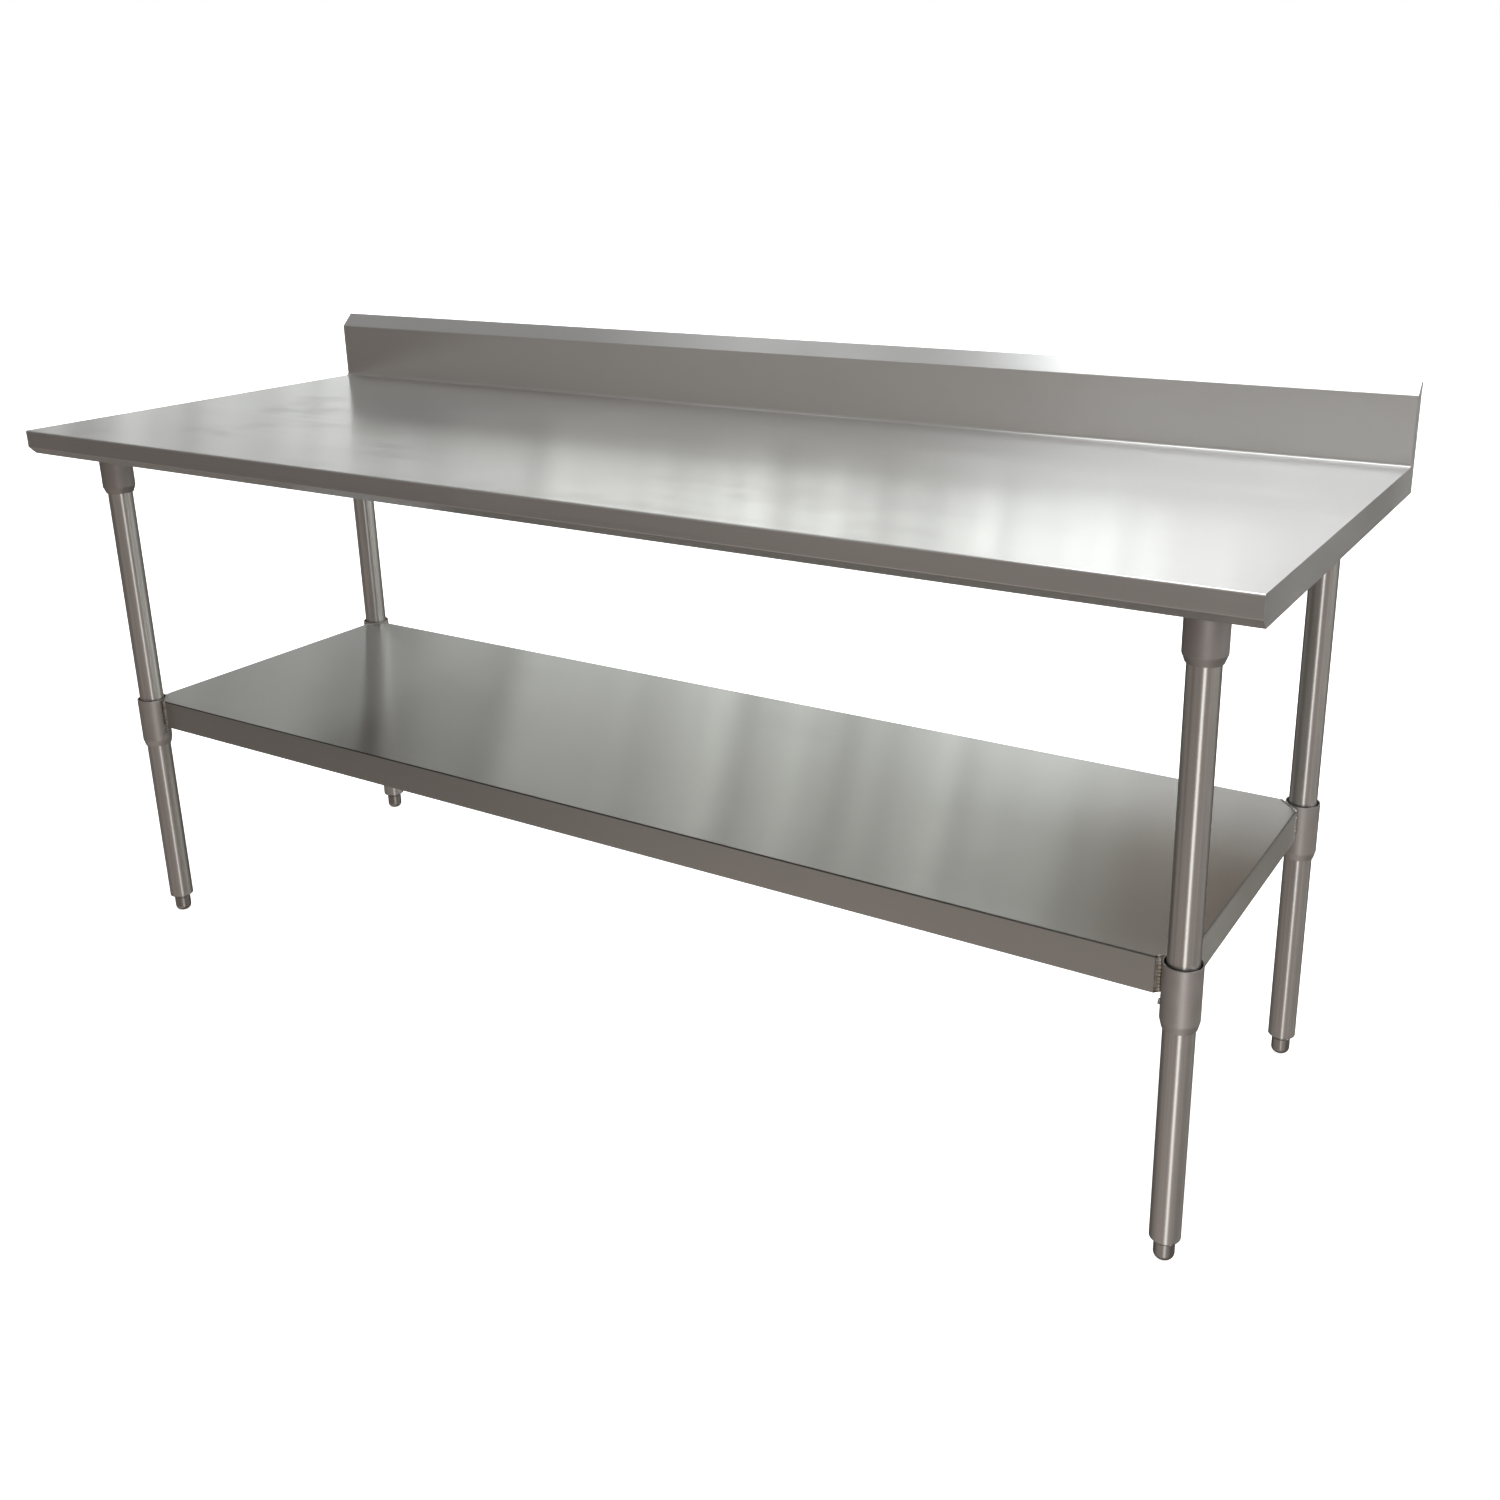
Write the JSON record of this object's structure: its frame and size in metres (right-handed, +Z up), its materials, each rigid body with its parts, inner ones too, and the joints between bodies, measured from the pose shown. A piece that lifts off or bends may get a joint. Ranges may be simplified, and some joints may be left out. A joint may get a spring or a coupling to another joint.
{
  "type": "work table",
  "caption": "Stainless steel kitchen work table with a rear riser, folded edges, round tube legs, an adjustable undershelf and screw feet.",
  "frame": {"origin": "on the floor, under the centre of the table outline", "axes": "+X along the table to the right, +Y to the rear, +Z up"},
  "size_m": [2.1336, 0.762, 1.0647],
  "materials": {
    "sheet_steel": "number 4 brushed, grain along the length",
    "channel_steel": "mill finish galvanised",
    "tube_steel": "polished tube, fine brush",
    "socket_steel": "satin",
    "foot_steel": "turned satin",
    "fastener_steel": "zinc plated",
    "label_film": "matt film"
  },
  "bodies": {
    "root": {"work_top": "sheet_steel", "riser_end_cap_left": "sheet_steel", "riser_end_cap_right": "sheet_steel", "blank_label": "label_film", "cross_channel_left": "channel_steel", "cross_channel_right": "channel_steel", "centre_channel": "channel_steel", "channel_studs": "fastener_steel", "channel_nuts": "fastener_steel", "top_socket_front_left": "socket_steel", "top_socket_front_right": "socket_steel", "top_socket_rear_left": "socket_steel", "top_socket_rear_right": "socket_steel", "top_set_screws": "fastener_steel", "leg_front_left": "tube_steel", "leg_front_right": "tube_steel", "leg_rear_left": "tube_steel", "leg_rear_right": "tube_steel", "foot_insert_front_left": "foot_steel", "foot_insert_front_right": "foot_steel", "foot_insert_rear_left": "foot_steel", "foot_insert_rear_right": "foot_steel"},
    "shelf": {"under_shelf": "sheet_steel", "shelf_channel": "channel_steel", "shelf_socket_front_left": "socket_steel", "shelf_socket_front_right": "socket_steel", "shelf_socket_rear_left": "socket_steel", "shelf_socket_rear_right": "socket_steel", "shelf_set_screws": "fastener_steel"},
    "screw_foot_front_left": {"foot_front_left": "foot_steel", "foot_stem_front_left": "foot_steel"},
    "screw_foot_front_right": {"foot_front_right": "foot_steel", "foot_stem_front_right": "foot_steel"},
    "screw_foot_rear_left": {"foot_rear_left": "foot_steel", "foot_stem_rear_left": "foot_steel"},
    "screw_foot_rear_right": {"foot_rear_right": "foot_steel", "foot_stem_rear_right": "foot_steel"}
  },
  "joints": [
    {"name": "shelf_height_slide", "type": "slide", "parent": "root", "child": "shelf", "axis": [0, 0, 1], "range_m": [-0.25, 0.3]},
    {"name": "foot_front_left_height", "type": "slide", "parent": "root", "child": "screw_foot_front_left", "axis": [0, 0, -1], "range_m": [0, 0.025]},
    {"name": "foot_front_right_height", "type": "slide", "parent": "root", "child": "screw_foot_front_right", "axis": [0, 0, -1], "range_m": [0, 0.025]},
    {"name": "foot_rear_left_height", "type": "slide", "parent": "root", "child": "screw_foot_rear_left", "axis": [0, 0, -1], "range_m": [0, 0.025]},
    {"name": "foot_rear_right_height", "type": "slide", "parent": "root", "child": "screw_foot_rear_right", "axis": [0, 0, -1], "range_m": [0, 0.025]}
  ]
}
